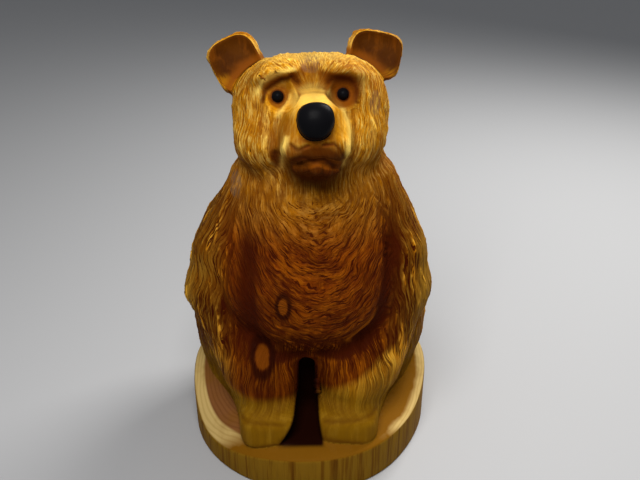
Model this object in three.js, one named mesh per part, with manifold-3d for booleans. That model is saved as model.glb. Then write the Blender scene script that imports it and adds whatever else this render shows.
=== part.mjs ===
// A bear sitting on its round log base, carved with a chainsaw out of one upright log.
// Bear and base are one piece of wood, so the model is one closed solid.
// Millimetres, +Z up, the bear faces -Y. The origin is the centre of the log's sawn underside.
import * as THREE from "three";
import { mergeVertices } from "three/addons/utils/BufferGeometryUtils.js";
import Module from "manifold-3d";

const wasm = await Module();
wasm.setup();

// ---- driving dimensions ----
const LOG_RADIUS = 150; // the log as felled, measured at the base
const BASE_HEIGHT = 55; // uncarved disc left under the bear, at the paws
const SEAT_RISE = 32; // how much higher the disc stands behind the paws, under the haunches
const CHAMFER_FROM = 122; // outside this radius the disc's top falls away to its rim
const NECK_Z = 342; // where the head ends and the shoulders begin
const HEAD = { x: -2, y: -6, z: 410, tilt: 18, roll: 1, turn: 3 }; // skull centre and degrees turned
const SLOT = { x: -5, width: 18, flare: [-28, 20], crown: 133, knee: 98, floor: 53, reach: 77 }; // between the legs

const WOOD = { color: 0x8a4f1c, roughness: 0.5, metalness: 0 };

const degrees = THREE.MathUtils.degToRad;
const UNIT = new THREE.Vector3(1, 1, 1);

// ---- distances to single masses, negative inside ----

// Distance for a stretched round norm, where power 2 is an ellipse and more is squarer.
function stretched(offsets, radii, power) {
  let sum = 0;
  for (let i = 0; i < offsets.length; i++) sum += Math.abs(offsets[i] / radii[i]) ** power;
  const norm = Math.max(sum ** (1 / power), 1e-6);
  let slope = 0;
  for (let i = 0; i < offsets.length; i++) {
    const share = Math.abs(offsets[i] / (radii[i] * norm)) ** (power - 1) / radii[i];
    slope += share * share;
  }
  return (norm - 1) / Math.sqrt(slope);
}

// A rounded mass at a place, with three radii and turns in degrees.
function mass({ at, radii, power = 2, turn = [0, 0, 0] }) {
  const centre = new THREE.Vector3(...at);
  const back = new THREE.Quaternion().setFromEuler(new THREE.Euler(...turn.map(degrees))).invert();
  const q = new THREE.Vector3();
  return (p) => {
    q.copy(p).sub(centre).applyQuaternion(back);
    return stretched([q.x, q.y, q.z], radii, power);
  };
}

// A limb: round sections whose radius runs evenly from one joint to the next.
function limb(from, to, radiusFrom, radiusTo) {
  const start = new THREE.Vector3(...from);
  const run = new THREE.Vector3(...to).sub(start);
  const q = new THREE.Vector3();
  return (p) => {
    q.copy(p).sub(start);
    const t = THREE.MathUtils.clamp(q.dot(run) / run.lengthSq(), 0, 1);
    return q.addScaledVector(run, -t).length() - THREE.MathUtils.lerp(radiusFrom, radiusTo, t);
  };
}

// An upright column: level sections with a middle, a half-width and a front and back reach.
function column(stations, power) {
  const curves = {};
  for (const key of ["x", "half", "front", "back"])
    curves[key] = new THREE.SplineCurve(stations.map((s) => new THREE.Vector2(s.z, s[key])));
  const last = stations.length - 1;
  return (p) => {
    const z = THREE.MathUtils.clamp(p.z, stations[0].z, stations[last].z - 1e-3);
    const i = stations.findIndex((s) => s.z > z) - 1;
    const t = (i + (z - stations[i].z) / (stations[i + 1].z - stations[i].z)) / last;
    const x = curves.x.getPoint(t).y;
    const half = curves.half.getPoint(t).y;
    const front = curves.front.getPoint(t).y;
    const back = curves.back.getPoint(t).y;
    const level = stretched([p.x - x, p.y - (front + back) / 2], [half, (back - front) / 2], power);
    return Math.max(level, p.z - stations[last].z);
  };
}

// ---- joining distances ----

function softMin(a, b, blend) {
  const h = Math.max(blend - Math.abs(a - b), 0) / blend;
  return Math.min(a, b) - (h * h * blend) / 4;
}

const MUZZLE_X = 3; // the muzzle is carved a little to the bear's left

const softMax = (a, b, blend) => -softMin(-a, -b, blend);
const bothSides = (make) => [make(-1), make(1)].flat();

// All masses run into one another over the given width, and the hollows are scooped out of them.
function blended(masses, blend, hollows = [], edge = 1) {
  return (p) => {
    let d = masses[0](p);
    for (let i = 1; i < masses.length; i++) d = softMin(d, masses[i](p), blend);
    for (const hollow of hollows) d = softMax(d, -hollow(p), edge);
    return d;
  };
}

// ---- the sitting body ----

// The trunk leans a little: hips to the bear's right, shoulders to its left.
function trunk() {
  const stations = [
    { z: 40, x: -2, half: 132, front: -62, back: 132 },
    { z: 75, x: -2, half: 134, front: -74, back: 136 },
    { z: 110, x: -3, half: 137, front: -80, back: 138 },
    { z: 150, x: -3, half: 140, front: -86, back: 137 },
    { z: 195, x: -3, half: 145, front: -94, back: 132 },
    { z: 240, x: -2, half: 140, front: -93, back: 122 },
    { z: 285, x: 1, half: 122, front: -84, back: 106 },
    { z: 320, x: 4, half: 101, front: -78, back: 90 },
    { z: NECK_Z, x: 4, half: 86, front: -74, back: 80 },
    { z: 370, x: 2, half: 77, front: -62, back: 71 },
    { z: 405, x: 0, half: 62, front: -40, back: 54 },
  ];
  return column(stations, 2.3);
}

// Chest and belly hang as one shield from the throat and fade in between the forelegs.
function chest() {
  const stations = [
    { z: 148, x: -3, half: 60, front: -84, back: 20 },
    { z: 168, x: -3, half: 80, front: -101, back: 20 },
    { z: 195, x: -2, half: 94, front: -114, back: 20 },
    { z: 231, x: -1, half: 101, front: -118, back: 20 },
    { z: 272, x: 0, half: 97, front: -108, back: 20 },
    { z: 306, x: 2, half: 87, front: -97, back: 20 },
    { z: 341, x: 2, half: 76, front: -84, back: 20 },
    { z: 378, x: 1, half: 62, front: -72, back: 20 },
  ];
  return column(stations, 2.4);
}

// One arm runs down beside the chest and turns in over the foreleg.
function arm(side) {
  return [
    limb([side * 64 + 4, -30, 340], [side * 98, -40, 262], 28, 31),
    limb([side * 98, -40, 262], [side * 105 - 2, -41, 214], 31, 35),
    limb([side * 105 - 2, -41, 214], [side * 70, -64, 118], 35, 36),
  ];
}

function foreleg(side) {
  return [
    mass({ at: [side * 62 - 2, -44, 110], radii: [39, 66, 72], power: 3, turn: [0, 0, side * -20] }),
    mass({ at: [side * 43 - 3, -88, 62], radii: [38, 40, 27], power: 3.6 }),
  ];
}

function haunch(side) {
  return mass({ at: [side * 85, 42, 146], radii: [64, 78, 88], power: 2.6, turn: [-12, 0, side * -6] });
}

// ---- the head, described level with the muzzle towards -Y ----

function skull() {
  return mass({ at: [3, 0, -2], radii: [84, 72, 61], power: 2.5 });
}

function cheek(side) {
  return mass({ at: [side * 44, -32, -30], radii: [35, 36, 35] });
}

function muzzle() {
  return [
    mass({ at: [MUZZLE_X, -62, -5], radii: [29, 50, 21], power: 2.4, turn: [8, 0, 0] }), // bridge
    mass({ at: [MUZZLE_X, -57, -30], radii: [35, 52, 26], power: 2.9, turn: [4, 0, 0] }), // lips
    mass({ at: [MUZZLE_X, -50, -56], radii: [27, 40, 14], power: 2.6, turn: [-8, 0, 0] }), // chin
  ];
}

function brow(side) {
  return mass({ at: [side * 31, -54, 33], radii: [28, 23, 11.5], turn: [0, side * 10, side * 16] });
}

// The right eye's socket is the taller one. Keys are the sides.
const SOCKETS = {
  "-1": { at: [-30, -84, 15], radii: [18.5, 25, 20] },
  1: { at: [33, -84, 12], radii: [17.5, 25, 16] },
};

function eyeSocket(side) {
  return mass({ ...SOCKETS[side], power: 2.2, turn: [0, side * 12, 0] });
}

function inHeadFrame(distance) {
  const place = headPlace().invert();
  const q = new THREE.Vector3();
  return (p) => distance(q.copy(p).applyMatrix4(place));
}

function headPlace() {
  const turned = new THREE.Euler(degrees(-HEAD.tilt), degrees(-HEAD.roll), degrees(HEAD.turn), "ZYX");
  const spin = new THREE.Quaternion().setFromEuler(turned);
  return new THREE.Matrix4().compose(new THREE.Vector3(HEAD.x, HEAD.y, HEAD.z), spin, UNIT);
}

function bearShape() {
  const body = blended(
    [trunk(), chest(), ...bothSides(arm), ...bothSides(foreleg), ...bothSides(haunch)],
    12,
  );
  const head = blended(
    [skull(), ...bothSides(cheek), ...muzzle(), ...bothSides(brow)],
    9,
    bothSides(eyeSocket),
    5,
  );
  const placedHead = inHeadFrame(head);
  return (p) => softMin(body(p), placedHead(p), 14);
}

// ---- the skin drawn over that shape ----

const COLUMNS = 62;
const ROWS = { crown: 15, head: 14, body: 28 };
const FAN_Z = 424; // below this height the rays run level, above it they fan out over the crown
const SKIN_FOOT = BASE_HEIGHT - 11;

// Columns are closer together at the front, where the face, arms and paws are.
function columnAngle(u) {
  const s = 2 * u - 1;
  const t = Math.abs(s);
  return -Math.PI / 2 + Math.sign(s) * Math.PI * (0.6 * t + 0.4 * t ** 2.4);
}

// The start height and the upward angle of one row of rays, counted down from the crown.
function rowRay(row) {
  if (row <= ROWS.crown) return { z: FAN_Z, up: (Math.PI / 2) * (1 - row / ROWS.crown) ** 1.5 };
  if (row <= ROWS.crown + ROWS.head)
    return { z: THREE.MathUtils.lerp(FAN_Z, NECK_Z, (row - ROWS.crown) / ROWS.head), up: 0 };
  const t = (row - ROWS.crown - ROWS.head) / ROWS.body;
  return { z: THREE.MathUtils.lerp(NECK_Z, SKIN_FOOT, t), up: 0 };
}

// Walks in along a ray from well outside until it meets the shape, then halves the last step.
function meet(shape, origin, direction) {
  const step = 3;
  const p = new THREE.Vector3();
  const at = (distance) => shape(p.copy(origin).addScaledVector(direction, distance));
  let outside = 175;
  while (outside > step && at(outside - step) > 0) outside -= step;
  let inside = outside - step;
  for (let i = 0; i < 12; i++) {
    const middle = (inside + outside) / 2;
    if (at(middle) > 0) outside = middle;
    else inside = middle;
  }
  return origin.clone().addScaledVector(direction, inside);
}

// One point where each ray meets the shape, as rows of columns.
function skinPoints(shape) {
  const grid = [];
  for (let row = 0; row <= ROWS.crown + ROWS.head + ROWS.body; row++) {
    const ray = rowRay(row);
    const origin = new THREE.Vector3(0, HEAD.y, ray.z);
    const level = row === 0 ? 0 : Math.cos(ray.up);
    grid.push([]);
    for (let i = 0; i < COLUMNS; i++) {
      const angle = columnAngle(i / COLUMNS);
      const direction = new THREE.Vector3(Math.cos(angle) * level, Math.sin(angle) * level, 0);
      direction.z = Math.sqrt(1 - level * level);
      grid[row].push(meet(shape, origin, direction));
    }
  }
  return grid;
}

// Draws every point a little towards the middle of its four neighbours.
function eased(grid) {
  const around = (row, i) => grid[row][(i + COLUMNS) % COLUMNS];
  return grid.map((line, row) =>
    line.map((point, i) => {
      if (row === 0 || row === grid.length - 1) return point;
      const middle = new THREE.Vector3();
      for (const next of [around(row, i - 1), around(row, i + 1), grid[row - 1][i], grid[row + 1][i]])
        middle.addScaledVector(next, 0.25);
      return point.clone().lerp(middle, 0.5);
    }),
  );
}

function bearSkin() {
  const grid = eased(skinPoints(bearShape()));
  const geometry = new THREE.SphereGeometry(1, COLUMNS, grid.length);
  const position = geometry.getAttribute("position");
  const foot = new THREE.Vector3(0, HEAD.y, SKIN_FOOT);
  for (let row = 0; row <= grid.length; row++)
    for (let i = 0; i <= COLUMNS; i++) {
      const point = row < grid.length ? grid[row][i % COLUMNS] : foot;
      position.setXYZ(row * (COLUMNS + 1) + i, point.x, point.y, point.z);
    }
  return geometry;
}

// ---- solids that are joined on or cut away ----

// A rise that fades away within a spread of degrees around the log.
function bump(angle, middle, spread) {
  const turn = THREE.MathUtils.radToDeg(angle) - middle;
  const off = THREE.MathUtils.euclideanModulo(turn + 180, 360) - 180;
  return Math.exp(-((off / spread) ** 2));
}

// The log is flatter at the front by the bear's left paw.
function logRadius(angle) {
  return LOG_RADIUS - 1.5 - 6.5 * bump(angle, -30, 28) + 1.5 * bump(angle, 180, 50);
}

// The disc's top slopes up behind the paws, and its rim is lowest by the bear's right paw.
function topHeight(angle, fromPith) {
  const y = Math.sin(angle) * fromPith;
  const rim = 8 + 19 * bump(angle, -143, 30);
  const share = Math.max(fromPith - CHAMFER_FROM, 0) / (LOG_RADIUS - CHAMFER_FROM);
  return BASE_HEIGHT + SEAT_RISE * THREE.MathUtils.smoothstep(y, -80, 30) - rim * share;
}

function logBase() {
  const bevel = 3;
  const edge = 1 - bevel / LOG_RADIUS;
  const profile = [
    new THREE.Vector2(0, 0),
    new THREE.Vector2(edge, 0),
    new THREE.Vector2(1, bevel),
    new THREE.Vector2(1, BASE_HEIGHT - bevel),
    new THREE.Vector2(edge, BASE_HEIGHT),
    new THREE.Vector2(CHAMFER_FROM / LOG_RADIUS, BASE_HEIGHT),
    new THREE.Vector2(0, BASE_HEIGHT),
  ];
  const geometry = new THREE.LatheGeometry(profile, 60);
  geometry.rotateX(Math.PI / 2);
  const position = geometry.getAttribute("position");
  for (let i = 0; i < position.count; i++) {
    const x = position.getX(i);
    const y = position.getY(i);
    const angle = Math.atan2(y, x);
    const radius = logRadius(angle);
    const raised = topHeight(angle, Math.hypot(x, y) * radius) - BASE_HEIGHT;
    const z = position.getZ(i) > bevel ? position.getZ(i) + raised : position.getZ(i);
    position.setXYZ(i, x * radius, y * radius, z);
  }
  return geometry;
}

// The cut between the forelegs: a narrow slot with a round head that flares to the base.
function legSlot() {
  const half = SLOT.width / 2;
  const [right, left] = SLOT.flare;
  const bend = SLOT.knee - 16;
  const outline = new THREE.Shape();
  outline.moveTo(right, SLOT.floor);
  outline.lineTo(left, SLOT.floor);
  outline.quadraticCurveTo(half + 3, bend, half, SLOT.knee);
  outline.lineTo(half, SLOT.crown);
  outline.absarc(0, SLOT.crown, half, 0, Math.PI);
  outline.lineTo(-half, SLOT.knee);
  outline.quadraticCurveTo(-half - 3, bend, right, SLOT.floor);
  const cut = new THREE.ExtrudeGeometry(outline, {
    depth: SLOT.reach,
    bevelEnabled: false,
    curveSegments: 6,
  });
  cut.rotateX(Math.PI / 2);
  return cut.translate(SLOT.x, SLOT.reach - 129, 0);
}

// A solid lump with the same measures as a mass, for pieces with crisp edges.
function lump({ at, radii, power = 2, turn = [0, 0, 0], sides, rings }) {
  const geometry = new THREE.SphereGeometry(1, sides, rings);
  const position = geometry.getAttribute("position");
  const round = (v) => Math.sign(v) * Math.abs(v) ** (2 / power);
  for (let i = 0; i < position.count; i++)
    position.setXYZ(
      i,
      round(position.getX(i)) * radii[0],
      round(position.getY(i)) * radii[1],
      round(position.getZ(i)) * radii[2],
    );
  const spin = new THREE.Quaternion().setFromEuler(new THREE.Euler(...turn.map(degrees)));
  return geometry.applyMatrix4(new THREE.Matrix4().compose(new THREE.Vector3(...at), spin, UNIT));
}

function tail() {
  return lump({ at: [0, 120, 118], radii: [21, 25, 28], turn: [-20, 0, 0], sides: 14, rings: 9 });
}

function nose() {
  return lump({ at: [MUZZLE_X, -110, -12], radii: [18, 14, 17], power: 2.3, sides: 18, rings: 11 });
}

function eye(side) {
  return lump({ at: [side * 32 + 1, -62, 12], radii: [5, 5, 5], sides: 10, rings: 6 });
}

// The bear's right ear leans out and its left ear stands squarer. Keys are the sides.
const EARS = {
  "-1": { at: [-71, 4, 50], radii: [29, 10, 31], turn: [-4, -25, 6] },
  1: { at: [73, 4, 54], radii: [31, 10, 27], turn: [-4, 14, -6] },
};

function ear(side) {
  return lump({ ...EARS[side], power: 3.4, sides: 20, rings: 12 });
}

function earRoot(side) {
  return lump({
    at: [side * 56, 6, 26],
    radii: [24, 16, 26],
    turn: [0, side * 30, 0],
    sides: 16,
    rings: 10,
  });
}

function earScoop(side) {
  const { at, radii, turn } = EARS[side];
  return lump({
    at: [at[0] + side, at[1] - 16, at[2]],
    radii: [radii[0] - 3, 13, radii[2] - 3],
    power: 3.2,
    turn,
    sides: 16,
    rings: 10,
  });
}

// ---- the carving ----

function solidOf(geometry) {
  const bare = geometry.clone();
  bare.deleteAttribute("normal");
  bare.deleteAttribute("uv");
  const merged = mergeVertices(bare, 1e-3);
  const made = new wasm.Manifold(
    new wasm.Mesh({
      numProp: 3,
      vertProperties: merged.getAttribute("position").array,
      triVerts: new Uint32Array(merged.index.array),
    }),
  );
  if (made.volume() < 0) throw new Error("a geometry faces inwards");
  return made;
}

function geometryOf(solid) {
  const { numProp, numVert, vertProperties, triVerts } = solid.getMesh();
  const points = new Float32Array(numVert * 3);
  for (let i = 0; i < numVert; i++)
    points.set(vertProperties.subarray(i * numProp, i * numProp + 3), i * 3);
  const geometry = new THREE.BufferGeometry();
  geometry.setAttribute("position", new THREE.BufferAttribute(points, 3));
  geometry.setIndex(new THREE.BufferAttribute(new Uint32Array(triVerts), 1));
  geometry.computeVertexNormals();
  return geometry;
}

function carve() {
  const join = (geometries) => geometries.map(solidOf).reduce((whole, next) => whole.add(next));
  const onHead = (geometries) => geometries.map((g) => g.applyMatrix4(headPlace()));
  const ears = onHead([...bothSides(earRoot), ...bothSides(ear)]);
  const wood = join([bearSkin(), logBase(), tail(), ...ears]);
  const cuts = join([legSlot(), ...onHead(bothSides(earScoop))]);
  const details = join(onHead([nose(), ...bothSides(eye)]));
  return wood.subtract(cuts).add(details);
}

const statue = new THREE.Group();
const bear = new THREE.Mesh(geometryOf(carve()), new THREE.MeshStandardMaterial(WOOD));
bear.name = "carved_bear";
statue.add(bear);

export default statue;
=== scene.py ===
import math

import bpy
import numpy as np
from mathutils import Euler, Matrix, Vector
from mathutils.kdtree import KDTree


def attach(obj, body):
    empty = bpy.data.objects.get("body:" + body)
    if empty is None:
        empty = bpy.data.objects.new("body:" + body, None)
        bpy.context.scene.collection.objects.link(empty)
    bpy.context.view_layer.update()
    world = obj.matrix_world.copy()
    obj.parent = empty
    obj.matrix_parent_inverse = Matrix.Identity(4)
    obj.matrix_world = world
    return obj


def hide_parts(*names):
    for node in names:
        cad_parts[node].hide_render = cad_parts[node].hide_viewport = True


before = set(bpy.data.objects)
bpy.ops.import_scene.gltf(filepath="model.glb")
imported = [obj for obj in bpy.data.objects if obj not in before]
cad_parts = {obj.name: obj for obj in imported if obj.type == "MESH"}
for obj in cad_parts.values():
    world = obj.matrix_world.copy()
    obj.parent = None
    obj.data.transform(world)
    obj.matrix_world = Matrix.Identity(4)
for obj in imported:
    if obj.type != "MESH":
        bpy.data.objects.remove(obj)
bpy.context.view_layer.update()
chance = np.random.default_rng(20)

MM = 0.001
LOG_RADIUS = 150.0
BASE_HEIGHT = 55.0
SEAT_RISE = 32.0  # how much higher the disc stands behind the paws
CHAMFER_FROM = 122.0  # outside this radius the disc's top falls away to its rim
HEAD_AT = np.array([-2.0, -6.0, 410.0])
HEAD_TURN = Euler([math.radians(a) for a in (-18.0, -1.0, 3.0)], "XYZ")
HEAD_SPIN = np.array(HEAD_TURN.to_matrix())
MUZZLE_X = 3.0
SIDES = (-1, 1)
SKIN_CELL = 1.6  # size of one cell of the carved skin
MOST_TRIANGLES = 194000


def smooth(low, high, value):
    """Rises from 0 at low to 1 at high, or falls where high is the smaller."""
    t = np.clip((value - low) / (high - low), 0, 1)
    return t * t * (3 - 2 * t)


# ---- distances to single masses in millimetres, negative inside the wood ----


def stretched(offsets, radii, power):
    """Distance for a stretched round norm, where power 2 is an oval and more is squarer."""
    share = np.abs(offsets) / radii
    norm = np.maximum((share**power).sum(1) ** (1 / power), 1e-6)
    slope = (share / norm[:, None]) ** (power - 1) / radii
    return (norm - 1) / np.sqrt((slope**2).sum(1))


def mass(at, radii, power=2.0, turn=(0, 0, 0)):
    """A rounded mass at a place, turned by degrees."""
    spin = np.array(Euler([math.radians(a) for a in turn], "ZYX").to_matrix())
    at, radii = np.array(at, float), np.array(radii, float)
    return lambda p: stretched((p - at) @ spin, radii, power)


def limb(start, end, thick_start, thick_end):
    """Round sections whose radius runs evenly from one end to the other."""
    start, run = np.array(start, float), np.array(end, float) - np.array(start, float)

    def distance(p):
        q = p - start
        t = np.clip(q @ run / (run @ run), 0, 1)
        thick = thick_start + (thick_end - thick_start) * t
        return np.linalg.norm(q - t[:, None] * run, axis=1) - thick

    return distance


def column(stations, power):
    """An upright body through stations of (height, middle, half-width, front, back), from the bottom up."""
    table = np.array(stations, float)
    heights = table[:, 0]

    def curve(values, i, t):
        p0, p3 = values[np.maximum(i - 1, 0)], values[np.minimum(i + 2, len(values) - 1)]
        p1, p2 = values[i], values[i + 1]
        v0, v1 = (p2 - p0) / 2, (p3 - p1) / 2
        return ((2 * p1 - 2 * p2 + v0 + v1) * t + (-3 * p1 + 3 * p2 - 2 * v0 - v1)) * t * t + v0 * t + p1

    def distance(p):
        z = np.clip(p[:, 2], heights[0], heights[-1] - 1e-3)
        i = np.searchsorted(heights, z, side="right") - 1
        t = (z - heights[i]) / (heights[i + 1] - heights[i])
        middle, half, front, back = (curve(table[:, k], i, t) for k in (1, 2, 3, 4))
        offsets = np.stack([p[:, 0] - middle, p[:, 1] - (front + back) / 2], 1)
        level = stretched(offsets, np.stack([half, (back - front) / 2], 1), power)
        return np.maximum(level, np.maximum(p[:, 2] - heights[-1], heights[0] - p[:, 2]))

    return distance


def soft_min(a, b, blend):
    """Joins two masses with a fillet as wide as the blend."""
    h = np.maximum(blend - np.abs(a - b), 0) / blend
    return np.minimum(a, b) - h * h * blend / 4


def soft_max(a, b, blend):
    """Keeps what lies in both, so that a negated mass cuts the other."""
    return -soft_min(-a, -b, blend)


def blended(masses, blend):
    """All the masses joined, each with a fillet as wide as the blend."""
    def distance(p):
        d = masses[0](p)
        for one in masses[1:]:
            d = soft_min(d, one(p), blend)
        return d

    return distance


def both(make):
    """The masses of a paired part, on the bear's right and then on its left."""
    made = []
    for side in SIDES:
        one = make(side)
        made += one if isinstance(one, list) else [one]
    return made


def to_head(p):
    """Places in the part's frame, seen from the middle of the level head."""
    return (p - HEAD_AT) @ HEAD_SPIN


# ---- the sitting body ----


def trunk():
    return column(
        [
            (40, -2, 132, -62, 132),
            (75, -2, 134, -74, 136),
            (110, -3, 137, -80, 138),
            (150, -3, 140, -86, 137),
            (195, -3, 145, -94, 132),
            (240, -2, 140, -93, 122),
            (285, 1, 122, -84, 106),
            (320, 4, 101, -78, 90),
            (342, 4, 86, -74, 80),
            (370, 2, 77, -62, 71),
            (405, 0, 62, -40, 54),
        ],
        2.3,
    )


def chest():
    return column(
        [
            (148, -3, 60, -84, 20),
            (168, -3, 80, -101, 20),
            (195, -2, 94, -114, 20),
            (231, -1, 101, -118, 20),
            (272, 0, 97, -108, 20),
            (306, 2, 87, -97, 20),
            (341, 2, 76, -84, 20),
            (378, 1, 62, -72, 20),
        ],
        2.4,
    )


def arm(side):
    return [
        limb((side * 64 + 4, -30, 340), (side * 98, -40, 262), 28, 31),
        limb((side * 98, -40, 262), (side * 105 - 2, -41, 214), 31, 35),
        limb((side * 105 - 2, -41, 214), (side * 70, -64, 118), 35, 36),
    ]


def foreleg(side):
    return [
        mass((side * 62 - 2, -44, 110), (39, 66, 72), 3.0, (0, 0, side * -20)),
        mass((side * 43 - 3, -88, 62), (38, 40, 27), 3.6),
    ]


def haunch(side):
    return mass((side * 85, 42, 146), (64, 78, 88), 2.6, (-12, 0, side * -6))


def tail():
    return mass((0, 120, 118), (21, 25, 28), 2.0, (-20, 0, 0))


# ---- the head, described level with the muzzle towards -Y ----


def skull():
    return mass((3, 0, -2), (84, 72, 61), 2.5)


def cheek(side):
    return mass((side * 44, -32, -30), (35, 36, 35))


def bridge():
    return mass((MUZZLE_X, -62, -5), (29, 50, 21), 2.4, (8, 0, 0))


def lips():
    return mass((MUZZLE_X, -57, -30), (35, 52, 26), 2.9, (4, 0, 0))


def lip_lobe(side):
    return mass((MUZZLE_X + side * 16, -94, -38), (16, 15, 14), 2.2)


def chin():
    return mass((MUZZLE_X, -50, -56), (27, 40, 14), 2.6, (-8, 0, 0))


def brow(side):
    return mass((side * 31, -54, 33), (28, 23, 11.5), 2.0, (0, side * 10, side * 16))


# The right eye's socket is the taller one. Keys are the sides.
SOCKETS = {
    -1: {"at": (-30, -84, 15), "radii": (18.5, 25, 20)},
    1: {"at": (33, -84, 12), "radii": (17.5, 25, 16)},
}


def eye_socket(side):
    return mass(SOCKETS[side]["at"], SOCKETS[side]["radii"], 2.2, (0, side * 12, 0))


EYE_RADII = (5.0, 5.0, 5.0)
NOSE_AT = (MUZZLE_X, -110, -12)


def eye_at(side):
    return (side * 32 + 1, -62, 12)


def eyelid(side):
    x, y, z = eye_at(side)
    return mass((x, y + 4, z), (6.5, 5, 6))


def nose():
    x, y, z = NOSE_AT
    return [mass((x, y, z + 3), (15.8, 13, 12.8), 2.3), mass((x - 1, y, z - 6), (12.4, 12.6, 11.8), 2.3)]


# The bear's right ear leans out and its left ear stands squarer.
EARS = {
    -1: {"at": (-71, 4, 50), "radii": (29, 10, 31), "turn": (-4, -25, 6)},
    1: {"at": (73, 4, 54), "radii": (31, 10, 27), "turn": (-4, 14, -6)},
}


def ear(side):
    made = EARS[side]
    return mass(made["at"], made["radii"], 3.4, made["turn"])


def ear_root(side):
    return mass((side * 56, 6, 26), (24, 16, 26), 2.0, (0, side * 30, 0))


def ear_scoop(side):
    made = EARS[side]
    x, y, z = made["at"]
    wide, _, tall = made["radii"]
    return mass((x + side, y - 16, z), (wide - 3, 13, tall - 3), 3.2, made["turn"])


# The groove under the nose, the mouth and the shut corners of the lips.
PHILTRUM = ((2, -110, -26), (3, -110, -44))
MOUTH = ((-21, -84, -48), (-10, -99, -52), (4, -104, -50), (16, -101, -52), (30, -86, -57))


def mouth_cuts():
    cuts = [limb(*PHILTRUM, 2.5, 2.0)]
    for a, b in zip(MOUTH[:-1], MOUTH[1:]):
        cuts.append(limb(a, b, 2.8, 2.8))
    return cuts


def lower_lip():
    return [
        limb((-16, -84, -57), (3, -95, -58), 5, 6),
        limb((3, -95, -58), (24, -84, -62), 6, 5),
    ]


# ---- base and saw cut ----


def swell(angle, middle, spread):
    """A bulge round the log, 1 at its middle, with both in degrees."""
    off = np.degrees(angle) - middle
    off = (off + 180) % 360 - 180
    return np.exp(-((off / spread) ** 2))


def log_radius(angle):
    """The log is a little flat to the front left and full at its right."""
    return LOG_RADIUS - 1.5 - 6.5 * swell(angle, -30, 28) + 1.5 * swell(angle, 180, 50)


def top_height(p):
    """The disc's top slopes up behind the paws and falls away to its rim."""
    angle, from_pith = np.arctan2(p[:, 1], p[:, 0]), np.hypot(p[:, 0], p[:, 1])
    rim_drop = 8 + 19 * swell(angle, -143, 30)
    share = np.clip((from_pith - CHAMFER_FROM) / (LOG_RADIUS - CHAMFER_FROM), 0, 1.2)
    return BASE_HEIGHT + SEAT_RISE * smooth(-80, 30, p[:, 1]) - rim_drop * share


def log_base(p):
    """The uncarved disc of the log under the bear."""
    angle, from_pith = np.arctan2(p[:, 1], p[:, 0]), np.hypot(p[:, 0], p[:, 1])
    around = from_pith - log_radius(angle)
    flat = np.maximum((p[:, 2] - top_height(p)) * 0.9, -p[:, 2])
    return soft_max(around, flat, 3.0)


SLOT = {"x": -5, "half": 9, "flare": (-30, 16), "crown": 133, "knee": 98, "floor": 53, "back": -52}


def slot_edge(flare, z):
    """How far one side of the saw cut stands from its middle at each height."""
    s = np.linspace(0, 1, 24)
    bend = math.copysign(SLOT["half"] + 3, flare)
    width = (1 - s) ** 2 * flare + 2 * s * (1 - s) * bend + s**2 * math.copysign(SLOT["half"], flare)
    height = (1 - s) ** 2 * SLOT["floor"] + 2 * s * (1 - s) * (SLOT["knee"] - 16) + s**2 * SLOT["knee"]
    return np.interp(z, height, width)


def leg_slot(p):
    """The saw cut between the forelegs: a narrow slot with a round head that flares to the base."""
    x, z = p[:, 0] - SLOT["x"], p[:, 2]
    right, left = (slot_edge(flare, z) for flare in SLOT["flare"])
    sides = np.maximum(x - left, right - x)
    crown = np.hypot(x, np.maximum(z - SLOT["crown"], 0)) - SLOT["half"]
    opening = np.where(z > SLOT["crown"], crown, sides)
    return np.maximum(np.maximum(opening, p[:, 1] - SLOT["back"]), SLOT["floor"] - z)


# ---- the whole carving as one distance ----


def head_form(q):
    """The head without its ears and nose: masses joined, then eye sockets, eyelids and mouth."""
    d = blended([skull(), *both(cheek), bridge(), lips(), chin(), *both(brow)], 9)(q)
    for lobe in both(lip_lobe):
        d = soft_min(d, lobe(q), 3)
    for one in lower_lip():
        d = soft_min(d, one(q), 3)
    for socket in both(eye_socket):
        d = soft_max(d, -socket(q), 3)
    for lid in both(eyelid):
        d = soft_min(d, lid(q), 1.5)
    for cut in mouth_cuts():
        d = soft_max(d, -cut(q), 1.5)
    return d


def ears_form(q):
    d = blended([*both(ear), *both(ear_root)], 3)(q)
    for scoop in both(ear_scoop):
        d = soft_max(d, -scoop(q), 1.5)
    return d


def painted_form(q):
    """What is painted black: the nose and the eyes."""
    d = blended(nose(), 14)(q)
    for side in SIDES:
        d = np.minimum(d, mass(eye_at(side), EYE_RADII)(q))
    return d


def ear_faces(q):
    return np.minimum(*[scoop(q) for scoop in both(ear_scoop)])


def bear_form(p):
    q = to_head(p)
    body = blended([trunk(), chest(), *both(arm), *both(foreleg), *both(haunch)], 12)(p)
    wood = soft_min(body, head_form(q), 14)
    wood = soft_min(wood, ears_form(q), 3)
    wood = soft_min(wood, tail()(p), 4)
    wood = np.minimum(wood, log_base(p))
    wood = soft_max(wood, -leg_slot(p), 2)
    return np.minimum(wood, painted_form(q))


# ---- mesh work ----


def places(mesh):
    """The mesh's points in millimetres."""
    flat = np.empty(len(mesh.vertices) * 3)
    mesh.vertices.foreach_get("co", flat)
    return flat.reshape(-1, 3) / MM


def normals(mesh):
    flat = np.empty(len(mesh.vertices) * 3)
    mesh.vertex_normals.foreach_get("vector", flat)
    return flat.reshape(-1, 3)


def put(mesh, points):
    mesh.vertices.foreach_set("co", (points * MM).ravel())
    mesh.update()


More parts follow.
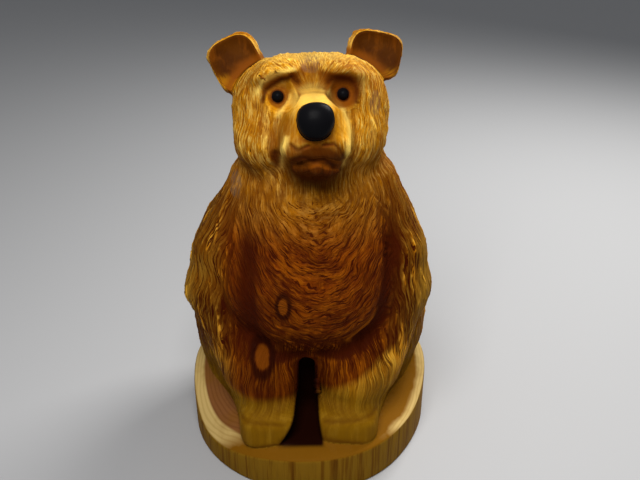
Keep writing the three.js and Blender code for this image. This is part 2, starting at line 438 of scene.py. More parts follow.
def apply_modifier(piece, kind, **settings):
    """Puts a modifier on a piece, bakes it into the mesh and gives the new mesh."""
    modifier = piece.modifiers.new(kind.lower(), kind)
    for key, value in settings.items():
        setattr(modifier, key, value)
    graph = bpy.context.evaluated_depsgraph_get()
    made = bpy.data.meshes.new_from_object(
        piece.evaluated_get(graph), preserve_all_data_layers=True, depsgraph=graph
    )
    piece.modifiers.clear()
    old, piece.data = piece.data, made
    bpy.data.meshes.remove(old)
    return piece.data


# ---- single cuts and ridges ----

# Furrows between chest, arms and legs: places (across, height) on the body, half-width and depth.
FURROWS = (
    (((-66, 300), (-68, 245), (-68, 195), (-58, 165)), 15, 5.5),
    (((84, 325), (88, 285), (86, 240), (78, 200), (56, 172)), 10, 5.5),
    (((56, 172), (34, 156), (10, 150)), 8, 2.0),
    (((-58, 165), (-34, 152), (-8, 148)), 8, 2.0),
)

# A painted highlight along the edge where the belly meets the left thigh, and the creases over both paws,
# laid out likewise.
BELLY_EDGE = ((42, 176), (61, 195), (79, 214))
ANKLES = (((-88, 80), (-60, 81), (-30, 79)), ((14, 81), (50, 83), (88, 85)))

# Creases on the face, as (across, up) on the head: both brows, beside the muzzle, lips and mouth.
FACE_CREASES = (
    (((-47, 9), (-43, 17), (-36, 22), (-27, 27), (-18, 28), (-11, 25)), 2.2),
    (((19, 24), (29, 26), (39, 24), (46, 18), (46, 5)), 3.0),
    (((-36, -44), (-35, -56)), 3.5),
    (((9, -35), (19, -34), (25, -40), (29, -50)), 1.8),
    (((-22, -33), (-15, -39), (-5, -35)), 1.8),
    (((-21, -50), (-10, -47), (-1, -50), (9, -49), (20, -56)), 2.2),
)

# Ridges that catch the light: down both edges of the muzzle, over the right eye and under it.
FACE_RIDGES = (
    (((13, 16), (25, 10), (31, -2), (35, -12), (36, -25), (34, -42), (32, -56)), 3.2),
    (((-25, -28), (-30, -40), (-31, -58)), 2.4),
    (((-52, 16), (-44, 26), (-31, 33), (-14, 36)), 2.8),
    (((-20, 12), (-25, 3), (-32, -7)), 2.4),
)


CREASE_DEPTH = 1.5
RIDGE_HEIGHT = 0.8
FURROW_SHADE = 0.55  # how far a furrow darkens like a fold


def near_line(flat, line, half_width):
    """From 1 on a line of places to 0 well away from it."""
    away = np.full(len(flat), 1e3)
    for start, end in zip(line[:-1], line[1:]):
        start, run = np.array(start, float), np.array(end, float) - np.array(start, float)
        t = np.clip((flat - start) @ run / (run @ run), 0, 1)
        away = np.minimum(away, np.linalg.norm(flat - start - t[:, None] * run, axis=1))
    return np.exp(-((away / half_width) ** 2))


def furrow_depth(p):
    """Depth of the furrows at each place, and how deep in a furrow it lies from 0 to 1."""
    depth, inside = np.zeros(len(p)), np.zeros(len(p))
    for line, half_width, deepest in FURROWS:
        in_front = smooth(-25, -50, p[:, 1]) * smooth(345, 270, p[:, 2])
        share = near_line(p[:, [0, 2]], line, half_width) * in_front
        depth, inside = np.maximum(depth, share * deepest), np.maximum(inside, share)
    return depth, inside


def face_lines(q, lines):
    """From 1 on any of the face's lines to 0 well away from them and at the back of the head."""
    shares = [near_line(q[:, [0, 2]], line, half_width) for line, half_width in lines]
    return np.max(shares, axis=0) * smooth(-35, -50, q[:, 1])


# ---- gouge strokes ----

STROKE_COUNT = 7000
STROKE_VARIES = (0.65, 1.25)  # a stroke's width, length and depth, as shares of what is usual
SHALLOWEST = 0.08  # a stroke less deep than this is left out
FULL_CUT = 1.8  # a stroke this deep shows the whole tone of a cut

# The chest's strokes hang in long loops from a place (across, height) under the chin.
CHEST_TOP = (8.0, 410.0)
CHEST_SQUASH = 0.5

# The chest's half-width at heights from the belly up to the throat.
CHEST_HEIGHTS = (150, 195, 231, 272, 306, 341, 380)
CHEST_HALF_WIDTHS = (60, 84, 90, 86, 78, 68, 58)

# How the strokes drift from their flow, as a slow wave over the three directions.
DRIFT_WAVES = np.array([0.055, 0.04, 0.031])


def tangent(direction, normal):
    """The direction laid flat on the skin, one unit long."""
    flat = direction - (direction * normal).sum(1)[:, None] * normal
    length = np.linalg.norm(flat, axis=1)[:, None]
    return flat / np.maximum(length, 1e-6)


def region_weights(p, q):
    """The share of each point in the head, the chest and the forelegs, and how far it stays uncut."""
    x, y, z = p.T
    head = smooth(338, 366, z - 0.12 * y)
    beside = np.abs(x) - np.interp(z, CHEST_HEIGHTS, CHEST_HALF_WIDTHS)
    chest_part = smooth(12, -8, beside) * smooth(-10, -50, y) * smooth(158, 190, z) * (1 - head)
    legs = smooth(176, 150, z) * smooth(-30, -75, y) * (1 - chest_part)
    uncut = smooth(7, 2, log_base(p))
    muzzle = np.minimum(np.minimum(bridge()(q), lips()(q)), chin()(q))
    uncut = np.maximum(uncut, smooth(5, 0, muzzle) * smooth(-62, -76, q[:, 1]))
    for side in SIDES:
        uncut = np.maximum(uncut, 0.7 * smooth(3.5, 0.5, eye_socket(side)(q)))
        uncut = np.maximum(uncut, smooth(3, 0.5, ear_scoop(side)(q)))
    uncut = np.maximum(uncut, smooth(3.5, 1, painted_form(q)))
    uncut = np.maximum(uncut, smooth(7, 3, leg_slot(p)))
    paws = smooth(92, 80, z) * smooth(-95, -108, y)
    return head, chest_part, legs, np.maximum(uncut, paws)


def stroke_flow(p, q, normal, head, chest_part):
    """The way the saw ran: down the body, in loops on the chest and out from the nose on the face."""
    down = np.zeros_like(p)
    down[:, 2] = -1
    down[:, 0] = 0.25 * np.sign(p[:, 0]) * smooth(200, 330, p[:, 2])
    arcs = np.zeros_like(p)
    arcs[:, 0] = CHEST_SQUASH**2 * (CHEST_TOP[1] - p[:, 2])
    arcs[:, 2] = p[:, 0] - CHEST_TOP[0]
    arcs /= np.maximum(np.linalg.norm(arcs, axis=1)[:, None], 1e-6)
    away = q - np.array([MUZZLE_X, -86, 8])
    away /= np.maximum(np.linalg.norm(away, axis=1)[:, None], 1e-6)
    cheek_part = np.maximum(smooth(16, -14, q[:, 2]), smooth(36, 54, np.abs(q[:, 0] - MUZZLE_X)))[:, None]
    fur = away * (1 - 0.8 * cheek_part) + np.array([0, 0.25, -1.0]) * cheek_part
    fur = fur @ HEAD_SPIN.T
    flow = down * (1 - chest_part[:, None]) + arcs * chest_part[:, None]
    flow = flow * (1 - head[:, None]) + fur * head[:, None]
    return tangent(flow, normal)


def carve_strokes(points, normal, count):
    """Lays overlapping gouges on the skin: their depth at each point, and the shares they went by."""
    q = to_head(points)
    head, chest_part, legs, uncut = region_weights(points, q)
    flow = stroke_flow(points, q, normal, head, chest_part)
    tree = KDTree(len(points))
    for i, place in enumerate(points):
        tree.insert(place, i)
    tree.balance()
    belly = chest_part * smooth(262, 225, points[:, 2])
    # Strokes are long on the body, short and wide on the head, and fine on the chest and the legs.
    width = 6.4 + 1.6 * head - 1.6 * chest_part - 1.6 * legs - 0.4 * belly
    length = 60 - 36 * head - 22 * chest_part - 24 * legs - 8 * belly
    depth = (2.4 - 0.4 * head - 1.1 * chest_part - 1.6 * legs) * (1 - uncut)
    chosen = np.flatnonzero(uncut < 0.6)
    weight = 1 / (width[chosen] * length[chosen])
    seeds = chance.choice(chosen, count, replace=False, p=weight / weight.sum())
    cut = np.zeros(len(points))
    turn = chance.normal(0, 0.1, count) * (1 + 0.8 * chest_part[seeds])
    turn += 0.16 * np.sin(points[seeds] @ DRIFT_WAVES) * np.cos(points[seeds, 2] * 0.043)
    vary = chance.uniform(*STROKE_VARIES, (count, 3))
    for k, seed in enumerate(seeds):
        w, l, d = width[seed] * vary[k, 0], length[seed] * vary[k, 1], depth[seed] * vary[k, 2]
        if d < SHALLOWEST:
            continue
        near = np.array([f[1] for f in tree.find_range(points[seed], l / 2)])
        n = normal[seed]
        along = flow[seed] * math.cos(turn[k]) + np.cross(n, flow[seed]) * math.sin(turn[k])
        across = np.cross(n, along)
        offset = points[near] - points[seed]
        s, t = 2 * (offset @ along) / l, 2 * (offset @ across) / w
        inside = (np.abs(s) < 1) & (np.abs(t) < 1) & (np.abs(offset @ n) < 9)
        s, t, near = s[inside], t[inside], near[inside]
        hollow = d * (1 - t * t) * np.sqrt(np.clip(1 - s * s, 0, 1))
        cut[near] = np.maximum(cut[near], hollow)
    return cut * (1 - uncut), head, chest_part, uncut


# How far out from the skin a fold is felt for, and how much each reach counts.
FOLD_REACHES = ((6, 0.25), (12, 0.35), (24, 0.4))


def hollowness(points, normal):
    """How deep each place lies between its neighbours: 0 on open skin and 1 deep in a fold."""
    shut = np.zeros(len(points))
    for reach, share in FOLD_REACHES:
        shut += share * np.clip(1 - bear_form(points + normal * reach) / reach, 0, 1)
    return shut


def nearness(distance):
    """One half on a surface, more inside it and less outside, over 10 mm in all."""
    return np.clip(0.5 - distance / 10, 0, 1)


def keep(mesh, name, columns):
    """Stores four numbers at each point for the finish to read."""
    layer = mesh.attributes.new(name, "FLOAT_COLOR", "POINT")
    layer.data.foreach_set("color", np.stack(columns, 1).astype(np.float32).ravel())


def settle(mesh, form):
    """Draws the skin onto the carved form, at most 3 mm at a time."""
    for _ in range(3):
        points = places(mesh)
        put(mesh, points - normals(mesh) * np.clip(form(points), -3, 3)[:, None])


def creases_and_ridges(points):
    """The share of each point in the creases, in the ridges and in the edges that get a painted highlight.
    """
    q = to_head(points)
    across_and_up = points[:, [0, 2]]
    paint_gap = smooth(1.5, 5, painted_form(q))
    crease = face_lines(q, FACE_CREASES) * paint_gap
    ridge = face_lines(q, FACE_RIDGES) * paint_gap
    for ankle in ANKLES:
        on_paw = near_line(across_and_up, ankle, 2.2) * smooth(-85, -110, points[:, 1])
        crease = np.maximum(crease, 0.45 * on_paw)
    belly_edge = near_line(across_and_up, BELLY_EDGE, 4) * smooth(-50, -80, points[:, 1])
    return crease, ridge, np.maximum(ridge, belly_edge)


def carved_mesh():
    """The carving's skin, with its strokes cut and what its finish needs kept at each point."""
    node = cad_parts["carved_bear"]
    piece = bpy.data.objects.new("bear_carving", node.data.copy())
    bpy.context.scene.collection.objects.link(piece)
    mesh = apply_modifier(piece, "REMESH", mode="VOXEL", voxel_size=SKIN_CELL * MM)
    settle(mesh, bear_form)
    smooth_points, normal = places(mesh), normals(mesh)
    furrow_cut, furrow = furrow_depth(smooth_points)
    crease, ridge, pale = creases_and_ridges(smooth_points)
    put(mesh, smooth_points - normal * (furrow_cut + CREASE_DEPTH * crease - RIDGE_HEIGHT * ridge)[:, None])
    points, normal = places(mesh), normals(mesh)
    cut, head, chest_part, uncut = carve_strokes(points, normal, STROKE_COUNT)
    put(mesh, points - normal * cut[:, None])
    hollow = np.maximum(hollowness(points, normal), FURROW_SHADE * furrow)
    on_head = to_head(smooth_points)
    forms = (painted_form(on_head), ear_faces(on_head), log_base(points), leg_slot(points))
    keep(mesh, "carving", [np.clip(cut / FULL_CUT, 0, 1), head, chest_part, uncut])
    keep(mesh, "shade", [hollow, crease, pale, np.zeros(len(points))])
    keep(mesh, "skins", [nearness(distance) for distance in forms])
    triangles = sum(len(face.vertices) - 2 for face in mesh.polygons)
    mesh = apply_modifier(piece, "DECIMATE", ratio=min(1, MOST_TRIANGLES / triangles))
    mesh.polygons.foreach_set("use_smooth", np.ones(len(mesh.polygons), bool))
    return piece


carving = carved_mesh()
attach(carving, "root")
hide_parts("carved_bear")


# ---- finish ----


class Nodes:
    """Short ways to add and wire shader nodes in one tree."""

    def __init__(self, tree):
        self.tree = tree

    def add(self, kind, inputs=None, **settings):
        node = self.tree.nodes.new("ShaderNode" + kind)
        for key, value in settings.items():
            setattr(node, key, value)
        for key, value in (inputs or {}).items():
            self.feed(node.inputs[key], value)
        return node

    def feed(self, socket, value):
        if isinstance(value, bpy.types.NodeSocket):
            self.tree.links.new(value, socket)
        else:
            socket.default_value = value

    def math(self, operation, *values):
        return self.add("Math", dict(enumerate(values)), operation=operation).outputs[0]

    def plus(self, first, second):
        return self.math("ADD", first, second)

    def minus(self, first, second):
        return self.math("SUBTRACT", first, second)

    def times(self, first, second):
        return self.math("MULTIPLY", first, second)

    def either(self, first, second):
        return self.math("MAXIMUM", first, second)

    def length(self, first, second):
        """How long the slope is whose two legs are given."""
        return self.math("SQRT", self.plus(self.times(first, first), self.times(second, second)))

    def vector(self, operation, *values, out="Vector"):
        return self.add("VectorMath", dict(enumerate(values)), operation=operation).outputs[out]

    def step(self, value, low, high, bottom=0.0, top=1.0):
        """A soft step from bottom to top as the value goes from low to high."""
        inputs = {"Value": value, "From Min": low, "From Max": high, "To Min": bottom, "To Max": top}
        return self.add("MapRange", inputs, interpolation_type="SMOOTHSTEP").outputs["Result"]

    def blend(self, share, first, second):
        """Two numbers, from the first to the second as the share goes from 0 to 1."""
        return self.add("Mix", {0: share, 2: first, 3: second}).outputs[0]

    def mix(self, share, first, second):
        """Two colours, from the first to the second as the share goes from 0 to 1."""
        node = self.add("Mix", data_type="RGBA", clamp_factor=True)
        for socket, value in zip((0, 6, 7), (share, first, second)):
            self.feed(node.inputs[socket], value)
        return node.outputs[2]

    def noise(self, vector, scale, detail=2.0, roughness=0.5):
        inputs = {"Vector": vector, "Scale": scale, "Detail": detail, "Roughness": roughness}
        return self.add("TexNoise", inputs).outputs["Fac"]

    def waver(self, vector, scale, spread):
        """A slow noise that moves a value to either side of where it was."""
        return self.times(self.minus(self.noise(vector, scale), 0.5), spread)

    def stretch(self, vector, scale):
        return self.vector("MULTIPLY", vector, scale)

    def apart(self, vector):
        return self.add("SeparateXYZ", {0: vector}).outputs[:3]


def group(name, inputs, outputs, build):
    """A shared effect. Inputs and outputs are {socket name: kind}; build returns the outputs in order."""
    tree = bpy.data.node_groups.new(name, "ShaderNodeTree")
    for socket, kind in inputs.items():
        tree.interface.new_socket(socket, in_out="INPUT", socket_type="NodeSocket" + kind)
    for socket, kind in outputs.items():
        tree.interface.new_socket(socket, in_out="OUTPUT", socket_type="NodeSocket" + kind)
    nodes = Nodes(tree)
    start, end = tree.nodes.new("NodeGroupInput"), tree.nodes.new("NodeGroupOutput")
    for socket, value in zip(end.inputs, build(nodes, *[start.outputs[s] for s in inputs])):
        nodes.feed(socket, value)
    return tree


def use(nodes, tree, **inputs):
    """Places a shared effect and gives its outputs by name."""
    node = nodes.tree.nodes.new("ShaderNodeGroup")
    node.node_tree = tree
    for key, value in inputs.items():
        nodes.feed(node.inputs[key], value)
    return node.outputs


# Where the log's growth rings are centred, in metres, and the turns of ring wave per metre.
PITH = (-0.006, 0.002, 0.0)
RING_WAVES = 1500

# Heartwood ends at this reach from the pith, and below a line that stands this high between the
# paws and rises by these slopes towards the bear's left and right.
HEART_REACH = (0.142, 0.130)
HEART_FOOT = 0.088
LEFT_SLOPE = 0.75
RIGHT_SLOPE = -0.22


def log_section(n, place):
    """Growth rings, the share of heartwood, and two reaches from the pith: whole, and not forward."""
    x, y, z = n.apart(n.vector("SUBTRACT", place, PITH))
    drift = n.minus(n.noise(n.stretch(place, (1, 1, 0.35)), 9), 0.5)
    radius = n.length(x, y)
    ring = n.step(n.math("SINE", n.times(n.plus(radius, n.times(drift, 0.03)), RING_WAVES)), -0.2, 1.0)
    uneven = n.times(drift, 0.022)
    left_rise = n.times(n.either(x, 0.0), LEFT_SLOPE)
    right_rise = n.times(n.math("MINIMUM", x, 0.0), RIGHT_SLOPE)
    foot = n.plus(n.plus(left_rise, right_rise), HEART_FOOT)
    outward = n.length(x, n.either(y, 0.0))
    within = n.step(n.plus(outward, uneven), *HEART_REACH)
    above = n.step(n.minus(n.plus(z, uneven), foot), -0.008, 0.008)
    return ring, n.times(within, above), radius, outward


def wood_grain(n, place):
    """Fine upright fibres, longer than they are wide, and the coarser figure between them."""
    fibre = n.noise(n.stretch(place, (1, 1, 0.06)), 900, 3, 0.6)
    figure = n.noise(n.stretch(place, (1, 1, 0.12)), 120, 3, 0.6)
    cloud = n.noise(place, 26, 3, 0.55)
    return fibre, figure, cloud


def saw_marks(n, along, across, wide, long):
    """Streaks left by the saw teeth, and one tone for each whole stroke."""
    sides = {0: n.math("DIVIDE", across, wide), 1: n.math("DIVIDE", along, long)}
    place = n.add("CombineXYZ", sides).outputs[0]
    streak = n.noise(place, 1.6, 3, 0.62)
    inputs = {"Vector": place, "Scale": 0.7}
    near = n.add("TexVoronoi", inputs, voronoi_dimensions="2D", feature="SMOOTH_F1")
    return streak, n.apart(near.outputs["Color"])[0]


def oval_knot(n, place, centre, radii):
    """An oval knot: its core, its dark ring and the smoky streaks about it."""
    off = n.vector("DIVIDE", n.vector("SUBTRACT", place, centre), radii)
    reach = n.plus(n.vector("LENGTH", off, out="Value"), n.waver(place, 70, 0.5))
    core = n.step(reach, 0.85, 0.6)
    ring = n.times(n.step(reach, 0.65, 0.95), n.step(reach, 1.6, 1.1))
    smoke = n.step(reach, 3.0, 1.0)
    return core, ring, smoke


def inside_oval(n, place, centre, turn, radii, soft):
    """1 inside a turned oval lump and 0 outside, over an edge as soft as is said."""
    inputs = {"Vector": place, "Location": centre, "Rotation": turn, "Scale": radii}
    unit = n.add("Mapping", inputs, vector_type="TEXTURE").outputs[0]
    size = n.vector("LENGTH", unit, out="Value")
    return (n.step(size, n.plus(1.0, soft), n.minus(1.0, soft)),)


SECTION = group(
    "log section",
    {"place": "Vector"},
    {"ring": "Float", "heart": "Float", "radius": "Float", "outward": "Float"},
    log_section,
)
GRAIN = group(
    "wood grain",
    {"place": "Vector"},
    {"fibre": "Float", "figure": "Float", "cloud": "Float"},
    wood_grain,
)
MARKS = group(
    "saw marks",
    {"along": "Float", "across": "Float", "wide": "Float", "long": "Float"},
    {"streak": "Float", "tone": "Float"},
    saw_marks,
)
KNOT = group(
    "oval knot",
    {"place": "Vector", "centre": "Vector", "radii": "Vector"},
    {"core": "Float", "ring": "Float", "smoke": "Float"},
    oval_knot,
)
OVAL = group(
    "inside an oval",
    {"place": "Vector", "centre": "Vector", "turn": "Vector", "radii": "Vector", "soft": "Float"},
    {"inside": "Float"},
    inside_oval,
)

HEARTWOOD = (0.19, 0.035, 0.0006, 1)
HEARTWOOD_DARK = (0.050, 0.006, 0.0004, 1)
HEARTWOOD_LIGHT = (0.41, 0.11, 0.002, 1)
SAPWOOD = (0.23, 0.105, 0.002, 1)
SAPWOOD_LIGHT = (0.42, 0.23, 0.015, 1)
SAPWOOD_DARK = (0.15, 0.060, 0.003, 1)
HONEY = (0.78, 0.34, 0.006, 1)
HONEY_LIGHT = (0.95, 0.66, 0.14, 1)
HONEY_DARK = (0.20, 0.052, 0.002, 1)
SMOKE = (0.022, 0.003, 0.0005, 1)
KNOT_CORE = (0.22, 0.055, 0.002, 1)
EAR_BROWN = (0.085, 0.024, 0.0010, 1)
EAR_DARK = (0.040, 0.009, 0.0004, 1)
HIP_WOOD = (0.68, 0.26, 0.008, 1)
HIP_LIGHT = (0.92, 0.50, 0.05, 1)
# Brown for painted shade: under the nose, in the eye sockets, in creases and round the eyes.
PAINTED_SHADE_BROWN = (0.062, 0.011, 0.0004, 1)
# Near-black for the painted shade inside the saw slot.
SLOT_SHADE = (0.012, 0.002, 0.0005, 1)
WEATHERED = (0.13, 0.10, 0.07, 1)
BASE_HEART = (0.22, 0.085, 0.025, 1)
BASE_CREAM = (0.60, 0.42, 0.15, 1)
BASE_TOP_DARK = (0.20, 0.080, 0.003, 1)
BASE_SIDE = (0.23, 0.115, 0.007, 1)
PAINT = (0.004, 0.004, 0.005, 1)

# Heights in metres over which the wood changes: hips, calmer paws, neck, head and lit throat.
HIP_HEIGHTS = (0.09, 0.15)
PAW_HEIGHTS = (0.10, 0.16)
NECK_HEIGHTS = (0.28, 0.36)
HEAD_HEIGHTS = (0.340, 0.405)
THROAT_FOOT = (0.325, 0.35)
THROAT_TOP = (0.385, 0.372)

# Reaches from the pith over which the sides turn golden, the sides' outer edges get a painted rim light and
# the base's heart ends.
GOLDEN_REACH = (0.086, 0.124)
FLANK_REACH = (0.118, 0.135)
BASE_HEART_REACH = (0.131, 0.134)

# Values of a streak over which a light line and a dark line come up.
LIGHT_LINE = (0.53, 0.60)
DARK_LINE = (0.46, 0.40)

# Tints on the face: place on the head, radii in millimetres, the tint and how much of it shows. Most of
# them are painted light and shade.
FACE_TINTS = (
    # painted shade under the nose, round the mouth and on the chin
    ((MUZZLE_X, -92, -57), (33, 70, 28), PAINTED_SHADE_BROWN, 0.97),
    # painted shade down the muzzle's side on the bear's right, away from the key light
    ((MUZZLE_X - 28, -84, -28), (12, 70, 24), HONEY_DARK, 0.6),
    # painted shade just beside the nose on the bear's left, below the lit ridge
    ((MUZZLE_X + 19, -90, -24), (7, 70, 18), HONEY_DARK, 0.45),
    # the bridge: pale sanded wood with a painted highlight on it
    ((MUZZLE_X, -70, 8), (23, 60, 14), HONEY_LIGHT, 0.5),
    # painted shade in the eye socket on the bear's right
    ((-30, -84, 24), (18, 60, 10), PAINTED_SHADE_BROWN, 0.5),
    # painted shade in the deeper eye socket on the bear's left, under its brow
    ((34, -84, 15), (18, 60, 18), PAINTED_SHADE_BROWN, 0.95),
    # painted highlight on the crown
    ((MUZZLE_X, -20, 62), (70, 60, 20), HONEY_LIGHT, 0.3),
)

# Weathered patches on the right shoulder, the brow and the left temple: place, radii and strength.
WEATHERED_PATCHES = (
    ((-0.078, -0.055, 0.345), (0.009, 0.03, 0.020), 0.45),
    ((0.001, -0.05, 0.468), (0.013, 0.04, 0.009), 0.4),
    ((0.066, -0.05, 0.430), (0.008, 0.05, 0.016), 0.4),
)

# The knots on the belly and the right foreleg: place and radii.
KNOTS = (
    ((-0.029, -0.118, 0.230), (0.0065, 0.04, 0.0125)),
    ((-0.054, -0.105, 0.155), (0.0105, 0.04, 0.019)),
)

# Width and length in metres of the saw teeth's streaks on each part.
BODY_MARKS = {"wide": 0.0024, "long": 0.062}
CHEST_MARKS = {"wide": 0.0019, "long": 0.030}
FACE_MARKS = {"wide": 0.0030, "long": 0.018}
CHEEK_MARKS = {"wide": 0.0030, "long": 0.026}


def head_place(point):
    """A point of the head, in metres in the part's frame."""
    return tuple((HEAD_AT + HEAD_SPIN @ np.array(point, float)) * MM)


class Skin:
    """What the finish knows about each place on the skin."""

    def __init__(self, n):
        self.place = n.add("TexCoord").outputs["Object"]
        self.x, self.y, self.z = n.apart(self.place)
        carved = n.add("Attribute", attribute_name="carving")
        self.cut, self.head, self.chest = n.apart(carved.outputs["Vector"])
        self.uncut = carved.outputs["Alpha"]
        shade = n.add("Attribute", attribute_name="shade")
        self.hollow, self.crease, self.pale = n.apart(shade.outputs["Vector"])
        skins = n.add("Attribute", attribute_name="skins")
        self.painted, self.ear_face, self.on_base = n.apart(skins.outputs["Vector"])
        self.on_slot = skins.outputs["Alpha"]
        self.section = use(n, SECTION, place=self.place)
        self.grain = use(n, GRAIN, place=self.place)
        muzzle = {"Location": head_place((MUZZLE_X, -80, 8)), "Rotation": tuple(HEAD_TURN)}
        in_head = n.add("Mapping", {"Vector": self.place, **muzzle}, vector_type="TEXTURE")
        self.from_muzzle = in_head.outputs[0]
        self.head_x, self.head_y, self.head_z = n.apart(self.from_muzzle)
        self.streak, self.tone = stroke_marks(n, self)
        self.marked = n.either(n.minus(1.0, self.uncut), n.times(self.head, 0.3))


def stroke_marks(n, skin):
    """Streaks that run down the body, in loops on the chest, and on the head out from the nose."""
    sway = n.waver(skin.place, 14, 0.03)
    round_trunk = n.plus(n.times(n.math("ARCTAN2", skin.x, n.times(skin.y, -1)), 0.125), sway)
    loop_x = n.minus(skin.x, CHEST_TOP[0] * MM)
    under_chin = n.math("MINIMUM", n.minus(skin.z, CHEST_TOP[1] * MM), -0.0001)
    loop_z = n.times(under_chin, CHEST_SQUASH)
    ruffle = n.waver(skin.place, 42, 0.010)
    loop = n.plus(n.length(loop_x, loop_z), n.plus(n.times(sway, 0.4), ruffle))
    loop_turn = n.times(n.math("ARCTAN2", loop_x, n.times(loop_z, -1)), 0.1)
    fan = n.times(n.math("ARCTAN2", skin.head_x, skin.head_z), 0.06)
    reach = n.vector("LENGTH", skin.from_muzzle, out="Value")
    round_head = n.times(n.math("ARCTAN2", skin.head_x, n.minus(0.08, skin.head_y)), 0.085)
    on_trunk = use(n, MARKS, along=skin.z, across=round_trunk, **BODY_MARKS)
    on_chest = use(n, MARKS, along=loop_turn, across=loop, **CHEST_MARKS)
    on_face = use(n, MARKS, along=reach, across=fan, **FACE_MARKS)
    on_cheeks = use(n, MARKS, along=skin.head_z, across=n.plus(round_head, sway), **CHEEK_MARKS)
    beside = n.step(n.math("ABSOLUTE", skin.head_x), 0.034, 0.052)
    cheek_part = n.either(n.step(skin.head_z, 0.004, -0.022), beside)

    def by_place(output):
        body = n.blend(skin.chest, on_trunk[output], on_chest[output])
        head = n.blend(cheek_part, on_face[output], on_cheeks[output])
        return n.blend(skin.head, body, head)

    return by_place("streak"), by_place("tone")


def wood_shades(n, skin):
    """The wood's middle, light and dark shades: golden head, red heartwood, pale sapwood."""
    heart = skin.section["heart"]
    golden_head = n.times(skin.head, n.step(skin.z, *HEAD_HEIGHTS))
    golden = n.either(golden_head, n.step(skin.z, *NECK_HEIGHTS, 0.0, 0.46))
    hip = n.step(skin.z, *HIP_HEIGHTS)
    right_more = n.step(skin.x, 0.0, -0.1, 0.0, 0.012)
    outer = n.step(n.plus(skin.section["outward"], right_more), *GOLDEN_REACH, 0.0, 0.9)
    wood = n.mix(heart, n.mix(hip, SAPWOOD, HIP_WOOD), n.mix(outer, HEARTWOOD, HIP_WOOD))
    light = n.mix(heart, n.mix(hip, SAPWOOD_LIGHT, HIP_LIGHT), n.mix(outer, HEARTWOOD_LIGHT, HIP_LIGHT))
    dark = n.mix(heart, n.mix(hip, SAPWOOD_DARK, HEARTWOOD_DARK), HEARTWOOD_DARK)
    return n.mix(golden, wood, HONEY), n.mix(golden, light, HONEY_LIGHT), n.mix(golden, dark, HONEY_DARK)


def figured_wood(n, skin, wood, light, dark):
    """The wood's own clouds, figure and rings, with painted shade darkening the belly towards its foot."""
    # painted shade low on the belly, out of the light from above
    low = n.times(skin.section["heart"], n.step(skin.z, 0.27, 0.17, 0.0, 0.4))
    cloudy = n.step(skin.grain["cloud"], 0.35, 0.75, 0.0, 0.5)
    colour = n.mix(n.plus(low, cloudy), wood, dark)
    colour = n.mix(n.step(skin.grain["figure"], 0.45, 0.75, 0.0, 0.35), colour, light)
    return n.mix(n.times(skin.section["ring"], 0.18), colour, dark)


def stroked_wood(n, skin, colour, light, dark):
    """Light and dark lines along the strokes, softer on the head and calmer on the paws, a painted rim
    light on the sides' outer edges, and deep cuts darkened.
    """
    marked = skin.marked
    colour = n.mix(n.times(n.step(skin.tone, 0.5, 1.0), n.times(marked, 0.3)), colour, light)
    colour = n.mix(n.times(n.step(skin.tone, 0.5, 0.1), n.times(marked, 0.4)), colour, dark)
    # Painted rim light: the sides' outer edges are brightened, as if lit from the side.
    rim_lit_flank = n.times(n.step(skin.section["outward"], *FLANK_REACH), n.step(skin.z, 0.15, 0.2))
    colour = n.mix(n.times(rim_lit_flank, 0.5), colour, HIP_LIGHT)
    calmed = n.times(marked, n.step(skin.z, *PAW_HEIGHTS, 0.35, 1.0))
    light_share = n.plus(n.times(skin.chest, -0.35), 0.7)
    softer = n.times(skin.head, -0.25)
    light_line = n.times(n.step(skin.streak, *LIGHT_LINE), n.times(calmed, light_share))
    dark_line = n.times(n.step(skin.streak, *DARK_LINE), n.times(calmed, n.plus(softer, 1.0)))
    colour = n.mix(light_line, colour, light)
    colour = n.mix(dark_line, colour, dark)
    # Deep gouges darken: oil soaked into the cut wood, with painted shade in the gouge.
    colour = n.mix(n.times(n.step(skin.cut, 0.45, 0.95), n.plus(softer, 0.7)), colour, dark)
    return n.mix(n.times(rim_lit_flank, 0.12), colour, HIP_LIGHT)


def face_and_folds(n, skin, colour, light, dark):
    """The face's tints of painted light and shade, brown ear faces, painted highlight on lit ridges, and
    painted shade in folds, creases and eye rims.
    """
    for at, radii, tint, share in FACE_TINTS:
        oval = {"centre": head_place(at), "radii": tuple(radius * MM for radius in radii)}
        spot = use(n, OVAL, place=skin.place, turn=tuple(HEAD_TURN), soft=0.3, **oval)["inside"]
        colour = n.mix(n.times(spot, share), colour, tint)
    ear_wood = n.mix(n.step(skin.grain["cloud"], 0.3, 0.7), EAR_BROWN, EAR_DARK)
    ear_wood = n.mix(n.step(skin.grain["figure"], 0.5, 0.75, 0.0, 0.5), ear_wood, HONEY_DARK)
    golden_root = n.times(n.step(skin.head_z, 0.034, 0.014), n.step(skin.streak, 0.45, 0.56, 0.2, 0.9))
    ear_wood = n.mix(golden_root, ear_wood, HONEY)
    colour = n.mix(n.step(skin.ear_face, 0.34, 0.42), colour, ear_wood)
    # Painted highlight along the lit ridges and the belly's edge.
    colour = n.mix(n.times(skin.pale, 0.75), colour, light)
    throat = n.times(n.step(skin.z, *THROAT_FOOT), n.step(skin.z, *THROAT_TOP))
    shaded = n.minus(0.92, n.times(throat, 0.5))
    colour = n.mix(n.times(n.step(skin.hollow, 0.12, 0.5), shaded), colour, dark)
    colour = n.mix(n.times(skin.crease, 0.9), colour, PAINTED_SHADE_BROWN)
    beside_nose = n.step(n.math("ABSOLUTE", skin.head_x), 0.020, 0.023)
    eye_rim = n.times(n.step(skin.painted, 0.15, 0.35), beside_nose)
    return n.mix(n.times(eye_rim, 0.75), colour, PAINTED_SHADE_BROWN)


